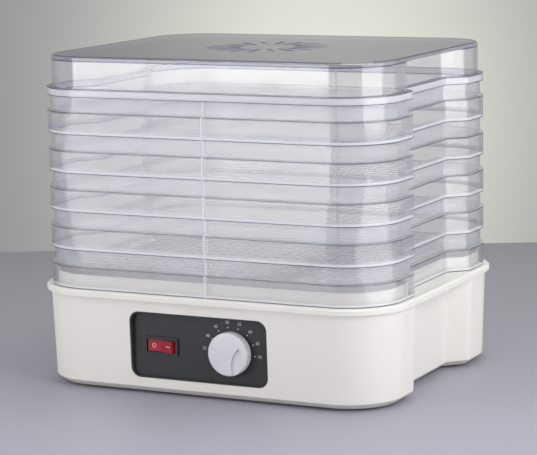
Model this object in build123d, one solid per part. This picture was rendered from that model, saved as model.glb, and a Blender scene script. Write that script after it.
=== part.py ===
from build123d import *
import os
from math import atan2, cos, degrees, radians, sin

# Food dehydrator: five clear trays and a clear lid stacked on a fan-heated base.
# Millimetres, +Z up, front towards -Y, origin on the table under the middle of the base.

# Plan of the stack, taken at the outside of a tray's skirt
SKIRT_HALF_X = 160.0
SKIRT_HALF_Y = 132.5
CORNER_R = 47.0
GRIP_DEPTH = 15.0
GRIP_HALF = 46.0
GRIP_LOBE_R = 9.0
LEAST_R = 0.8

# Heights of the stack
LIP_TOP = 85.0
TRAY_PITCH = 32.3
TRAY_COUNT = 5

# Tray section, heights measured from the step between wall and skirt
SKIRT_DROP = 19.0
SKIRT_WALL = 1.8
FLOOR_THICK = 2.2
WALL_INSET = 2.7
TRAY_WALL = 1.8
RIM_HIGH = 17.4
FLOOR_COLUMNS = 2
FLOOR_ROWS = 18
FLOOR_RIB = 5.0
FLOOR_MARGIN_X = 24.0
FLOOR_MARGIN_Y = 16.0
STACK_RIB_WIDE = 2.6
STACK_RIB_Y = 72.0
FRONT_RIB_X = 5.0
FRONT_BEAD_WIDE = 1.2
FRONT_BEAD_PROUD = 0.6

# Lid
LID_PLATE = 3.5
LID_EDGE = 1.6
LID_INSET = 4.6
LID_WALL = 1.8
LID_LIP_DROP = 4.9
LID_HIGH = 28.6
LID_VENTS = 18
LID_VENT_INNER_R = 24.0
LID_VENT_OUTER_R = 52.0
LID_VENT_WIDE = 5.0

# Base shell
HOUSING_TOP = 80.0
HOUSING_WALL = 2.5
HOUSING_GROW_TOP = 1.2
HOUSING_EDGE = ((2.0, -7.0), (6.5, -1.4))
HOUSING_FLOOR = 4.0
SERVICE_HALF_X = 120.0
SERVICE_HALF_Y = 105.0
SERVICE_R = 20.0
COVER_LEDGE = 8.0
COVER_THICK = 2.4
COVER_GAP = 0.4
LIP_GROW = 5.0
LIP_EDGE = 1.4
COLLAR_INSET = 4.9
COLLAR_WALL = 2.0
COLLAR_HIGH = 11.4
POST_X = 108.0
POST_Y = 93.0
POST_WIDE = 9.0
WELL_WIDE = 80.0
WELL_R = 6.0
WELL_WALL = 3.0
WELL_BOTTOM = 68.0
WELL_LEDGE = 4.0
WELL_FLOOR = 2.5
GRILLE_THICK = 2.5
GRILLE_GAP = 0.3
GRILLE_SLOTS = 8
GRILLE_SLOT_WIDE = 5.0
GRILLE_PITCH = 8.4
GRILLE_RIM = 5.0

# Underside
FOOT_WIDE = 17.0
FOOT_SEAT = 1.0
FOOT_X = 105.0
FOOT_Y = 72.0
INTAKE_SLOTS = 9
INTAKE_LONG = 60.0
INTAKE_WIDE = 5.0
INTAKE_PITCH = 11.0

# Control panel in the front wall
PANEL_X = -3.0
PANEL_Z = 42.2
PANEL_WIDE = 126.0
PANEL_HIGH = 55.4
PANEL_R = 8.5
PANEL_THICK = 3.0
PANEL_GAP = 0.3
PANEL_SINK = 7.0
PANEL_RIM = 1.2
PANEL_RIM_SINK = 0.4
PANEL_SEAT = 5.0
PANEL_BACKING = 3.0

# Power switch
SWITCH_FROM_LEFT = 27.5
SWITCH_Z = 41.6
SWITCH_WIDE = 31.2
SWITCH_HIGH = 15.6
SWITCH_BEZEL = 1.6
SWITCH_BODY_HIGH = 12.8
SWITCH_BODY_DEEP = 21.0
ROCKER_R = 13.0
ROCKER_HIGH = 9.6
ROCKER_GAP = 0.35
ROCKER_PIVOT_BACK = 3.0
ROCKER_CREST = 5.2
ROCKER_VALLEY = 3.4
ROCKER_BACK = 3.0
ROCKER_TILT = 8.0
PIVOT_R = 1.5
PIVOT_FIT = 0.05

# Thermostat and knob
KNOB_FROM_RIGHT = 33.5
KNOB_Z = 41.0
KNOB_R = 18.0
KNOB_FLUTES = 26
KNOB_FLUTE_DEEP = 0.7
KNOB_OFF_PANEL = 0.8
KNOB_DEEP = 8.0
KNOB_EDGE = 0.8
SCOOP_TIP = (10.5, 5.9)
SCOOP_END = (4.5, -19.0)
SCOOP_WIDE = 10.0
SCOOP_DEEP = 2.4
POINTER_ANGLE = 162.0
POINTER_START = 6.5
POINTER_END = 14.5
POINTER_WIDE = 1.2
POINTER_DEEP = 0.6
SHAFT_R = 3.0
SHAFT_FIT = 0.05
SHAFT_DEEP = 14.0
SHAFT_IN_KNOB = 4.5
SHAFT_FLAT = 2.0
BUSH_R = 4.5
BUSH_PROUD = 0.5
THERMOSTAT_WIDE = 34.0
THERMOSTAT_HIGH = 26.0
THERMOSTAT_DEEP = 20.0

# Fan and heater
BRACKET_HALF = 62.0
BRACKET_WIDE = 26.0
BRACKET_PLATE = 2.0
BRACKET_TOP = 18.0
BRACKET_FOOT = 16.0
MOTOR_CORE = (58.0, 44.0, 16.0)
MOTOR_COIL = (20.0, 60.0, 10.0)
MOTOR_CAP = (40.0, 12.0, 4.0)
MOTOR_SHAFT_R = 2.5
MOTOR_SHAFT_FIT = 0.05
MOTOR_SHAFT_IN = 14.0
FAN_HUB_R = 11.0
FAN_TIP_R = 36.0
FAN_BOTTOM = 42.0
FAN_H = 11.0
FAN_BLADES = 5
FAN_BLADE_THICK = 1.6
FAN_BLADE_PITCH = 32.0
HEATER_RING_R = 49.0
HEATER_RING_WALL = 2.0
HEATER_RING_BOTTOM = 56.0
HEATER_ARMS = 6
HEATER_ARM_WIDE = 6.0
HEATER_ARM_THICK = 2.0
HEATER_WIRE_RADII = (20.0, 31.0)
HEATER_WIRE_WIDE = 3.0
CUTOUT_AT = 39.5
CUTOUT_SIZE = (9.0, 6.0, 5.0)
TERMINAL_X = -75.0
TERMINAL_Y = 70.0
TERMINAL_SIZE = (36.0, 16.0, 12.0)
TERMINAL_WAYS = 3

# Inlet bush for the lead, in the rear wall
INLET_X = 95.0
INLET_Z = 22.0
INLET_FLANGE_WIDE = 15.0
INLET_FLANGE = 3.0
INLET_NECK_R = 5.5
INLET_BORE_R = 3.6
INLET_SPOT = 1.0

HOUSING_BOTTOM = HOUSING_EDGE[0][0]
HOUSING_FLOOR_TOP = HOUSING_BOTTOM + HOUSING_FLOOR
COVER_TOP = HOUSING_BOTTOM + COVER_THICK
FIRST_STEP = LIP_TOP + SKIRT_DROP
LID_SEAT = FIRST_STEP + (TRAY_COUNT - 1) * TRAY_PITCH + RIM_HIGH
PANEL_SEAT_Y = PANEL_SINK - SKIRT_HALF_Y
PANEL_FRONT_Y = PANEL_SEAT_Y - PANEL_THICK
SWITCH_X = PANEL_X - PANEL_WIDE / 2 + SWITCH_FROM_LEFT
KNOB_X = PANEL_X + PANEL_WIDE / 2 - KNOB_FROM_RIGHT
LIP_FRONT_Y = -SKIRT_HALF_Y - LIP_GROW
ROCKER_PIVOT_Y = PANEL_FRONT_Y + ROCKER_PIVOT_BACK
KNOB_BACK_Y = PANEL_FRONT_Y - KNOB_OFF_PANEL
REAR_SEAT_Y = SKIRT_HALF_Y - INLET_SPOT


def plan(grow=0.0, grips=True):
    """Rounded plan grown outwards from the tray skirt, with a finger grip let into each short side."""
    half_x = SKIRT_HALF_X + grow
    face = RectangleRounded(2 * half_x, 2 * (SKIRT_HALF_Y + grow), CORNER_R + grow)
    if not grips:
        return face
    floor_x = half_x - GRIP_DEPTH
    half_floor = GRIP_HALF - grow * (2**0.5 - 1)
    half_mouth = half_floor + GRIP_DEPTH
    for side in (-1, 1):
        face -= make_face(Polyline((side * half_x, -half_mouth), (side * floor_x, -half_floor),
                                   (side * floor_x, half_floor), (side * half_x, half_mouth), close=True))
    lobes = face.vertices().filter_by(
        lambda v: abs(abs(v.Y) - half_mouth) < 0.01 and abs(abs(v.X) - half_x) < 0.01)
    return fillet(lobes, max(GRIP_LOBE_R + grow, LEAST_R))


def prism(face, low, high):
    """A plan face extruded between two heights."""
    return Pos(0, 0, low) * extrude(face, high - low)


def ring(outer_grow, inner_grow, low, high):
    """A wall that follows the plan between two heights."""
    return prism(plan(outer_grow) - plan(inner_grow), low, high)


def drafted(low, low_grow, high, high_grow):
    """A band whose plan grows evenly from one height to another."""
    draft = degrees(atan2(high_grow - low_grow, high - low))
    return Pos(0, 0, low) * extrude(plan(low_grow), high - low, taper=-draft)


def disc(x, y, radius, low, high):
    """An upright round bar between two heights."""
    return Pos(x, y, low) * extrude(Circle(radius), high - low)


def block(x, y, wide, deep, low, high):
    """An upright square bar about a point."""
    return Pos(x, y, low) * extrude(Rectangle(wide, deep), high - low)


def front_plate(face, x, z, back_y, front_y):
    """A face drawn as seen from the front, extruded from a back to a front plane."""
    return extrude(Plane(origin=(x, back_y, z), x_dir=(1, 0, 0), z_dir=(0, -1, 0)) * face, back_y - front_y)


def corners(x, y):
    """The four places of a part that sits near each corner of the base."""
    return [(sx * x, sy * y) for sx in (-1, 1) for sy in (-1, 1)]


def tray_floor(step):
    """Slatted floor of a tray, which fills the inside of its wall."""
    pitch_x = 2 * (SKIRT_HALF_X - FLOOR_MARGIN_X) / FLOOR_COLUMNS
    pitch_y = 2 * (SKIRT_HALF_Y - FLOOR_MARGIN_Y) / FLOOR_ROWS
    slot = Rectangle(pitch_x - FLOOR_RIB, pitch_y - FLOOR_RIB)
    face = plan(-WALL_INSET - TRAY_WALL)
    face -= [place * slot for place in GridLocations(pitch_x, pitch_y, FLOOR_COLUMNS, FLOOR_ROWS)]
    return prism(face, step - FLOOR_THICK, step)


def stack_rib_places():
    """Where a skirt's inner ribs stand, each with its width along X and along Y."""
    wall_in = WALL_INSET + TRAY_WALL
    reach = wall_in - SKIRT_WALL / 2
    offset = (wall_in + SKIRT_WALL / 2) / 2
    places = [(FRONT_RIB_X, sy * (SKIRT_HALF_Y - offset), STACK_RIB_WIDE, reach) for sy in (-1, 1)]
    for x, y in corners(SKIRT_HALF_X - offset, STACK_RIB_Y):
        places.append((x, y, reach, STACK_RIB_WIDE))
    return places


def tray(step):
    """Clear side of a tray: wall above its floor, skirt below it, and ribs that stand on the rim underneath."""
    floor_under = step - FLOOR_THICK
    wall_in = WALL_INSET + TRAY_WALL
    body = ring(0, -SKIRT_WALL, step - SKIRT_DROP, step)
    body += ring(0, -wall_in, floor_under, step)
    body += ring(-WALL_INSET, -wall_in, floor_under, step + RIM_HIGH)
    for x, y, wide, deep in stack_rib_places():
        body += block(x, y, wide, deep, step + RIM_HIGH - TRAY_PITCH, floor_under)
    bead_top = step + TRAY_PITCH - SKIRT_DROP - FRONT_BEAD_PROUD
    bead_y = WALL_INSET - SKIRT_HALF_Y
    return body + block(FRONT_RIB_X, bead_y, FRONT_BEAD_WIDE, 2 * FRONT_BEAD_PROUD, floor_under, bead_top)


def lid():
    """Clear lid: straight-sided vented plate, gripped wall, and a lip over the top tray."""
    top = LID_SEAT + LID_HIGH
    under = top - LID_PLATE
    wall_in = LID_INSET + LID_WALL
    lip_top = LID_SEAT + LID_WALL
    plate = prism(plan(-LID_INSET, grips=False), under, top)
    plate = chamfer(plate.faces().sort_by(Axis.Z)[-1].edges(), LID_EDGE)
    slot = Rectangle(LID_VENT_OUTER_R - LID_VENT_INNER_R, LID_VENT_WIDE)
    vent_r = (LID_VENT_OUTER_R + LID_VENT_INNER_R) / 2
    for place in PolarLocations(vent_r, LID_VENTS):
        plate -= prism(place * slot, under, top)
    body = plate + ring(-LID_INSET, -wall_in, LID_SEAT, under)
    body += ring(0, -wall_in, LID_SEAT, lip_top)
    return body + ring(0, -LID_WALL, LID_SEAT - LID_LIP_DROP, lip_top)


def housing_shell():
    """Outside of the base: a rolled bottom edge and drafted walls with the grips let in."""
    bands = list(HOUSING_EDGE) + [(HOUSING_TOP, HOUSING_GROW_TOP)]
    shell = drafted(*bands[0], *bands[1])
    for lower, upper in zip(bands[1:], bands[2:]):
        shell += drafted(*lower, *upper)
    return shell


def service_plate(grow):
    """Plan of the service opening in the base's floor, grown outwards."""
    return RectangleRounded(2 * (SERVICE_HALF_X + grow), 2 * (SERVICE_HALF_Y + grow), SERVICE_R + grow)


def base_housing():
    """White tub of the base, with the panel pocket, the service opening and the inlet hole."""
    shell = housing_shell()
    cavity_low = HOUSING_EDGE[-1][1] - HOUSING_WALL
    tub = shell - drafted(HOUSING_FLOOR_TOP, cavity_low, HOUSING_TOP, HOUSING_GROW_TOP - HOUSING_WALL)
    tub -= prism(service_plate(0), 0, HOUSING_FLOOR_TOP)
    tub -= prism(service_plate(COVER_LEDGE), 0, COVER_TOP)
    surround = Rectangle(PANEL_WIDE + 2 * PANEL_SEAT, PANEL_HIGH + 2 * PANEL_SEAT)
    tub += front_plate(surround, PANEL_X, PANEL_Z, PANEL_SEAT_Y + PANEL_BACKING,
                       LIP_FRONT_Y) & shell
    pocket = RectangleRounded(PANEL_WIDE + 2 * PANEL_GAP, PANEL_HIGH + 2 * PANEL_GAP, PANEL_R + PANEL_GAP)
    tub -= front_plate(pocket, PANEL_X, PANEL_Z, PANEL_SEAT_Y, LIP_FRONT_Y)
    window = RectangleRounded(PANEL_WIDE - 2 * PANEL_SEAT, PANEL_HIGH - 2 * PANEL_SEAT, PANEL_R - PANEL_SEAT)
    tub -= front_plate(window, PANEL_X, PANEL_Z, 0, PANEL_SEAT_Y)
    spot = INLET_FLANGE_WIDE + 2 * COVER_GAP
    tub -= front_plate(Rectangle(spot, spot), INLET_X, INLET_Z, -LIP_FRONT_Y, REAR_SEAT_Y)
    return tub - front_plate(Circle(INLET_NECK_R), INLET_X, INLET_Z, SKIRT_HALF_Y, 0)


def well_face(grow):
    """Square plan of the air outlet's well, grown outwards."""
    return RectangleRounded(WELL_WIDE + 2 * grow, WELL_WIDE + 2 * grow, WELL_R + grow)


def base_deck():
    """White top of the base: straight-sided lip, collar inside the first tray, sunk air outlet and posts."""
    deck = prism(plan(LIP_GROW, grips=False), HOUSING_TOP, LIP_TOP)
    deck = chamfer(deck.faces().sort_by(Axis.Z)[-1].edges(), LIP_EDGE)
    deck += ring(-COLLAR_INSET, -COLLAR_INSET - COLLAR_WALL, HOUSING_TOP, LIP_TOP + COLLAR_HIGH)
    deck += prism(well_face(WELL_WALL), WELL_BOTTOM, HOUSING_TOP)
    deck -= prism(well_face(0), WELL_BOTTOM + WELL_FLOOR, LIP_TOP)
    deck -= prism(well_face(-WELL_LEDGE), WELL_BOTTOM, LIP_TOP)
    for x, y in corners(POST_X, POST_Y):
        deck += block(x, y, POST_WIDE, POST_WIDE, COVER_TOP, HOUSING_TOP)
    return deck


def outlet_grille():
    """Dark square grille at the bottom of the outlet's well, slotted across."""
    face = well_face(-GRILLE_GAP)
    slot = Rectangle(WELL_WIDE - 2 * GRILLE_RIM, GRILLE_SLOT_WIDE)
    face -= [place * slot for place in GridLocations(1, GRILLE_PITCH, 1, GRILLE_SLOTS)]
    low = WELL_BOTTOM + WELL_FLOOR
    return prism(face, low, low + GRILLE_THICK)


def bottom_cover():
    """Floor plate of the base with the air intake slots and the seats of the feet."""
    cover = prism(service_plate(COVER_LEDGE - COVER_GAP), HOUSING_BOTTOM, COVER_TOP)
    for place in GridLocations(INTAKE_PITCH, 1, INTAKE_SLOTS, 1):
        cover -= prism(place * Rectangle(INTAKE_WIDE, INTAKE_LONG), 0, COVER_TOP)
    foot_seat = FOOT_WIDE + 2 * COVER_GAP
    for x, y in corners(FOOT_X, FOOT_Y):
        cover -= block(x, y, foot_seat, foot_seat, 0, HOUSING_BOTTOM + FOOT_SEAT)
    return cover


def rubber_feet():
    """Four square rubber feet in their seats."""
    high = HOUSING_BOTTOM + FOOT_SEAT
    return Compound(children=[block(x, y, FOOT_WIDE, FOOT_WIDE, 0, high) for x, y in corners(FOOT_X, FOOT_Y)])


def control_panel():
    """Charcoal dish that lines the front pocket, with the switch window and the bush hole."""
    outline = RectangleRounded(PANEL_WIDE, PANEL_HIGH, PANEL_R)
    inside = RectangleRounded(PANEL_WIDE - 2 * PANEL_RIM, PANEL_HIGH - 2 * PANEL_RIM, PANEL_R - PANEL_RIM)
    plate = front_plate(outline, PANEL_X, PANEL_Z, PANEL_SEAT_Y, LIP_FRONT_Y)
    plate &= Pos(0, PANEL_RIM_SINK, 0) * housing_shell()
    plate -= front_plate(inside, PANEL_X, PANEL_Z, PANEL_FRONT_Y, LIP_FRONT_Y)
    window = Rectangle(SWITCH_WIDE - 2 * SWITCH_BEZEL + 2 * PANEL_GAP, SWITCH_BODY_HIGH + 2 * PANEL_GAP)
    plate -= front_plate(window, SWITCH_X, SWITCH_Z, 0, -SKIRT_HALF_Y)
    return plate - front_plate(Circle(BUSH_R + PANEL_GAP), KNOB_X, KNOB_Z, 0, -SKIRT_HALF_Y)


def switch_body():
    """Frame and body of the power switch, open in front for the rocker."""
    bezel_y = PANEL_FRONT_Y - SWITCH_BEZEL
    body = front_plate(RectangleRounded(SWITCH_WIDE, SWITCH_HIGH, SWITCH_BEZEL), SWITCH_X, SWITCH_Z,
                       PANEL_FRONT_Y, bezel_y)
    body += front_plate(Rectangle(SWITCH_WIDE - 2 * SWITCH_BEZEL, SWITCH_BODY_HIGH), SWITCH_X, SWITCH_Z,
                        PANEL_FRONT_Y + SWITCH_BODY_DEEP, PANEL_FRONT_Y)
    mouth = Rectangle(2 * (ROCKER_R + ROCKER_GAP), ROCKER_HIGH + 2 * ROCKER_GAP)
    swing = ROCKER_R * sin(radians(ROCKER_TILT))
    floor_y = ROCKER_PIVOT_Y + ROCKER_BACK + swing + ROCKER_GAP
    body -= front_plate(mouth, SWITCH_X, SWITCH_Z, floor_y, bezel_y)
    half_high = SWITCH_BODY_HIGH / 2
    return body - disc(SWITCH_X, ROCKER_PIVOT_Y, PIVOT_R + PIVOT_FIT, SWITCH_Z - half_high, SWITCH_Z + half_high)


def switch_rocker():
    """Red rocker with a shallow valley in front and round ends about its upright pivot."""
    crest = (ROCKER_R**2 - ROCKER_CREST**2) ** 0.5
    back = (ROCKER_R**2 - ROCKER_BACK**2) ** 0.5
    edges = [
        Line((-crest, -ROCKER_CREST), (0, -ROCKER_VALLEY)),
        Line((0, -ROCKER_VALLEY), (crest, -ROCKER_CREST)),
        ThreePointArc((crest, -ROCKER_CREST), (ROCKER_R, 0), (back, ROCKER_BACK)),
        Line((back, ROCKER_BACK), (-back, ROCKER_BACK)),
        ThreePointArc((-back, ROCKER_BACK), (-ROCKER_R, 0), (-crest, -ROCKER_CREST)),
    ]
    rocker = extrude(make_face(edges), ROCKER_HIGH / 2, both=True)
    rocker += extrude(Circle(PIVOT_R), SWITCH_BODY_HIGH / 2, both=True)
    return Pos(SWITCH_X, ROCKER_PIVOT_Y, SWITCH_Z) * Rot(0, 0, -ROCKER_TILT) * rocker


def thermostat_body():
    """Rotary thermostat behind the panel, with the bush that its shaft turns in."""
    body = front_plate(Rectangle(THERMOSTAT_WIDE, THERMOSTAT_HIGH), KNOB_X, KNOB_Z,
                       PANEL_SEAT_Y + THERMOSTAT_DEEP, PANEL_SEAT_Y)
    body = chamfer(body.edges().filter_by(Axis.Y), BUSH_R)
    body += front_plate(Circle(BUSH_R), KNOB_X, KNOB_Z, PANEL_SEAT_Y, PANEL_FRONT_Y - BUSH_PROUD)
    return body - front_plate(Circle(SHAFT_R + SHAFT_FIT), KNOB_X, KNOB_Z, PANEL_SEAT_Y + SHAFT_DEEP,
                              -SKIRT_HALF_Y)


def shaft_section(fit):
    """Round section with a flat on top, grown by a fit."""
    return Circle(SHAFT_R + fit) & Pos(0, SHAFT_FLAT - SHAFT_R) * Rectangle(4 * SHAFT_R, 2 * (SHAFT_R + fit))


def thermostat_shaft():
    """Round shaft whose flattened end drives the knob."""
    shaft = front_plate(Circle(SHAFT_R), KNOB_X, KNOB_Z, PANEL_SEAT_Y + SHAFT_DEEP, KNOB_BACK_Y)
    return shaft + front_plate(shaft_section(0), KNOB_X, KNOB_Z, KNOB_BACK_Y, KNOB_BACK_Y - SHAFT_IN_KNOB)


def knob_scoop():
    """Leaf-shaped outline of the finger scoop in the knob's face."""
    tip = Vector(*SCOOP_TIP)
    end = Vector(*SCOOP_END)
    middle = (tip + end) / 2
    across = Vector(tip.Y - end.Y, end.X - tip.X).normalized() * (SCOOP_WIDE / 2)
    edges = [ThreePointArc(tip, middle + across, end), ThreePointArc(end, middle - across, tip)]
    return make_face(edges)


def temperature_knob():
    """Fluted knob with a leaf-shaped finger scoop and a pointer groove in its face."""
    half_flute = 180 / KNOB_FLUTES
    crown = []
    for number in range(2 * KNOB_FLUTES):
        radius = KNOB_R - KNOB_FLUTE_DEEP * (number % 2)
        angle = radians(number * half_flute)
        crown.append((radius * cos(angle), radius * sin(angle)))
    front_y = KNOB_BACK_Y - KNOB_DEEP
    shoulder_y = front_y + KNOB_EDGE
    knob = front_plate(make_face(Polyline(*crown, close=True)), KNOB_X, KNOB_Z, KNOB_BACK_Y, shoulder_y)
    knob += front_plate(Circle(KNOB_R - KNOB_FLUTE_DEEP - KNOB_EDGE), KNOB_X, KNOB_Z, shoulder_y, front_y)
    knob -= front_plate(knob_scoop(), KNOB_X, KNOB_Z, front_y + SCOOP_DEEP, front_y)
    groove = Pos((POINTER_START + POINTER_END) / 2, 0) * Rectangle(POINTER_END - POINTER_START, POINTER_WIDE)
    knob -= front_plate(Rot(0, 0, POINTER_ANGLE) * groove, KNOB_X, KNOB_Z, front_y + POINTER_DEEP, front_y)
    return knob - front_plate(shaft_section(SHAFT_FIT), KNOB_X, KNOB_Z, KNOB_BACK_Y, KNOB_BACK_Y - SHAFT_IN_KNOB)


def motor_bracket():
    """Bridge of sheet steel that stands on the floor plate and carries the motor."""
    plate = BRACKET_PLATE
    half = BRACKET_HALF
    outside = [(half + BRACKET_FOOT, COVER_TOP), (half + BRACKET_FOOT, COVER_TOP + plate),
               (half, COVER_TOP + plate), (half, BRACKET_TOP)]
    inside = [(half - plate, BRACKET_TOP - plate), (half - plate, COVER_TOP)]
    profile = outside + [(-x, z) for x, z in reversed(outside)] + [(-x, z) for x, z in reversed(inside)] + inside
    return extrude(Plane.XZ * make_face(Polyline(*profile, close=True)), BRACKET_WIDE / 2, both=True)


def motor_top():
    """Height of the bearing cap on top of the motor's core."""
    return BRACKET_TOP + MOTOR_CORE[2] + MOTOR_CAP[2]


def fan_motor():
    """Shaded-pole fan motor on the bracket: core of sheets, coil to one side and bearing cap on top."""
    core_long, core_deep, core_high = MOTOR_CORE
    coil_long, coil_deep, coil_high = MOTOR_COIL
    core_top = BRACKET_TOP + core_high
    motor = block(0, 0, core_long, core_deep, BRACKET_TOP, core_top)
    coil_x = (core_long - coil_long) / 2
    coil_low = BRACKET_TOP + (core_high - coil_high) / 2
    motor += block(coil_x, 0, coil_long, coil_deep, coil_low, coil_low + coil_high)
    motor += block(0, 0, MOTOR_CAP[0], MOTOR_CAP[1], core_top, motor_top())
    return motor - disc(0, 0, MOTOR_SHAFT_R + MOTOR_SHAFT_FIT, motor_top() - MOTOR_SHAFT_IN, motor_top())


def motor_shaft():
    """Steel shaft from the motor to the top of the fan's hub."""
    return disc(0, 0, MOTOR_SHAFT_R, motor_top() - MOTOR_SHAFT_IN, FAN_BOTTOM + FAN_H)


def fan_impeller():
    """Axial fan: a hub with pitched blades."""
    fan = disc(0, 0, FAN_HUB_R, FAN_BOTTOM, FAN_BOTTOM + FAN_H)
    root = FAN_HUB_R / 2
    blade_wide = FAN_H / sin(radians(FAN_BLADE_PITCH)) - 2 * FAN_BLADE_THICK
    blade = Pos((FAN_TIP_R + root) / 2, 0, FAN_BOTTOM + FAN_H / 2) * Rot(FAN_BLADE_PITCH, 0, 0)
    blade *= Box(FAN_TIP_R - root, blade_wide, FAN_BLADE_THICK)
    for number in range(FAN_BLADES):
        fan += Rot(0, 0, number * 360 / FAN_BLADES) * blade
    return fan - disc(0, 0, MOTOR_SHAFT_R, FAN_BOTTOM, FAN_BOTTOM + FAN_H)


def heater_frame():
    """Six-sided sheet frame under the outlet with a star of arms that carries the heating ribbons."""
    outside = RegularPolygon(HEATER_RING_R, HEATER_ARMS)
    inside = RegularPolygon(HEATER_RING_R - HEATER_RING_WALL, HEATER_ARMS)
    frame = prism(outside - inside, HEATER_RING_BOTTOM, WELL_BOTTOM)
    star = Rectangle(HEATER_ARM_WIDE, HEATER_ARM_WIDE)
    for number in range(HEATER_ARMS // 2):
        star += Rot(0, 0, number * 360 / HEATER_ARMS) * Rectangle(2 * HEATER_RING_R, HEATER_ARM_WIDE)
    return frame + prism(star & outside, HEATER_RING_BOTTOM, HEATER_RING_BOTTOM + HEATER_ARM_THICK)


def heater_element():
    """Heating ribbons stretched from arm to arm of the star."""
    low = HEATER_RING_BOTTOM + HEATER_ARM_THICK
    ribbons = []
    for radius in HEATER_WIRE_RADII:
        loop = RegularPolygon(radius, HEATER_ARMS) - RegularPolygon(radius - HEATER_WIRE_WIDE / 2, HEATER_ARMS)
        ribbons.append(prism(loop, low, low + HEATER_WIRE_WIDE))
    return Compound(children=ribbons)


def thermal_cutout():
    """Safety cut-out on one arm of the heater's star."""
    long, deep, high = CUTOUT_SIZE
    low = HEATER_RING_BOTTOM + HEATER_ARM_THICK
    return block(CUTOUT_AT, 0, long, deep, low, low + high)


def terminal_block():
    """Mains terminal block on the floor plate, notched for its wires."""
    long, deep, high = TERMINAL_SIZE
    body = block(TERMINAL_X, TERMINAL_Y, long, deep, COVER_TOP, COVER_TOP + high)
    pitch = long / TERMINAL_WAYS
    for place in GridLocations(pitch, 1, TERMINAL_WAYS, 1):
        notch = Pos(TERMINAL_X, TERMINAL_Y) * place * Rectangle(pitch / 2, deep)
        body -= prism(notch, COVER_TOP + high / 2, COVER_TOP + high)
    return body


def cord_inlet():
    """Square-flanged bush in the rear wall where the lead would enter."""
    flange = Rectangle(INLET_FLANGE_WIDE, INLET_FLANGE_WIDE)
    bush = front_plate(flange, INLET_X, INLET_Z, REAR_SEAT_Y + INLET_FLANGE, REAR_SEAT_Y)
    bush += front_plate(Circle(INLET_NECK_R - PANEL_GAP), INLET_X, INLET_Z, REAR_SEAT_Y,
                        REAR_SEAT_Y - 2 * INLET_FLANGE)
    return bush - front_plate(Circle(INLET_BORE_R), INLET_X, INLET_Z, REAR_SEAT_Y + INLET_FLANGE, 0)


pieces = {
    "base_housing": base_housing(),
    "base_deck": base_deck(),
    "outlet_grille": outlet_grille(),
    "bottom_cover": bottom_cover(),
    "rubber_feet": rubber_feet(),
    "control_panel": control_panel(),
    "switch_body": switch_body(),
    "switch_rocker": switch_rocker(),
    "thermostat_body": thermostat_body(),
    "thermostat_shaft": thermostat_shaft(),
    "temperature_knob": temperature_knob(),
    "motor_bracket": motor_bracket(),
    "fan_motor": fan_motor(),
    "motor_shaft": motor_shaft(),
    "fan_impeller": fan_impeller(),
    "heater_frame": heater_frame(),
    "heater_element": heater_element(),
    "thermal_cutout": thermal_cutout(),
    "terminal_block": terminal_block(),
    "cord_inlet": cord_inlet(),
    "lid": lid(),
}
for number in range(TRAY_COUNT):
    tray_step = FIRST_STEP + number * TRAY_PITCH
    pieces[f"tray_{number + 1}"] = tray(tray_step)
    pieces[f"tray_{number + 1}_floor"] = tray_floor(tray_step)

os.makedirs("parts", exist_ok=True)
for name, piece in pieces.items():
    export_step(piece, f"parts/{name}.step")
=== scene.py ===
"""Looks of a food dehydrator: clear stacking trays and lid on a white fan-heated base."""

import math

import bpy
from mathutils import Matrix, Vector


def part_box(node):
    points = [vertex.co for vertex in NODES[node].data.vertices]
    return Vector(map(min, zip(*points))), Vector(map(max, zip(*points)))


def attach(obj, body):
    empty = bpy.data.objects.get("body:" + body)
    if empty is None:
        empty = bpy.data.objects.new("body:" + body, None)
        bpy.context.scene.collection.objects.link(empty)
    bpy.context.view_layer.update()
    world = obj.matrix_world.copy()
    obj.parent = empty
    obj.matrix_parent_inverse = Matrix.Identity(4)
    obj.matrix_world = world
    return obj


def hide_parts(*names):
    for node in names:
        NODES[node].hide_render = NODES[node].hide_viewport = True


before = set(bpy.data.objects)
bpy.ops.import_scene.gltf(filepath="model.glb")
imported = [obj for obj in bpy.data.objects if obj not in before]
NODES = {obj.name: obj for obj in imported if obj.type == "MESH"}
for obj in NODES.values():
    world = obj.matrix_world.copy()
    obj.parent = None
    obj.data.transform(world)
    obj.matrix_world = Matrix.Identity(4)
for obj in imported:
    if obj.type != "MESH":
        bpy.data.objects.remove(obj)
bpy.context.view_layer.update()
TRAYS = sorted(
    name for name in NODES if name.startswith("tray_") and not name.endswith("_floor"))
KNOB_LOW, KNOB_HIGH = (Vector(corner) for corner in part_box("temperature_knob"))
ROCKER_LOW, ROCKER_HIGH = (Vector(corner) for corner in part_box("switch_rocker"))
COVER_LOW = Vector(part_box("bottom_cover")[0])

bl_info = {
    "name": "Food Dehydrator",
    "version": (1, 0, 0),
    "blender": (4, 5, 0),
    "location": "3D View > Sidebar > Dehydrator",
    "description": "Finishes, print and stage for a stacking food dehydrator",
    "category": "Object",
}

MM = 0.001
# Half the thickness of print, and the hair between a lattice bar and its slat
INK = 0.03 * MM

# The tray's floor as the CAD model has it: slots between slats, from the middle of the tray
SKIRT_DROP = 19.0 * MM
FLOOR_THICK = 2.2 * MM
FLOOR_MARGIN_X = 24.0 * MM
FLOOR_MARGIN_Y = 16.0 * MM
FLOOR_COLUMNS = 2
FLOOR_ROWS = 18
FLOOR_RIB = 5.0 * MM
BAR_THICK = FLOOR_THICK - 0.6 * MM
BAR_EDGE = 0.25 * MM

# Opaque plastic: size of its colour patches, height of its grain, spread of its roughness
PATCH_MM = 60.0
GRAIN_HIGH = 0.1 * MM
PLASTIC_SPREAD = 0.05
PLASTIC_IOR = 1.53

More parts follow.
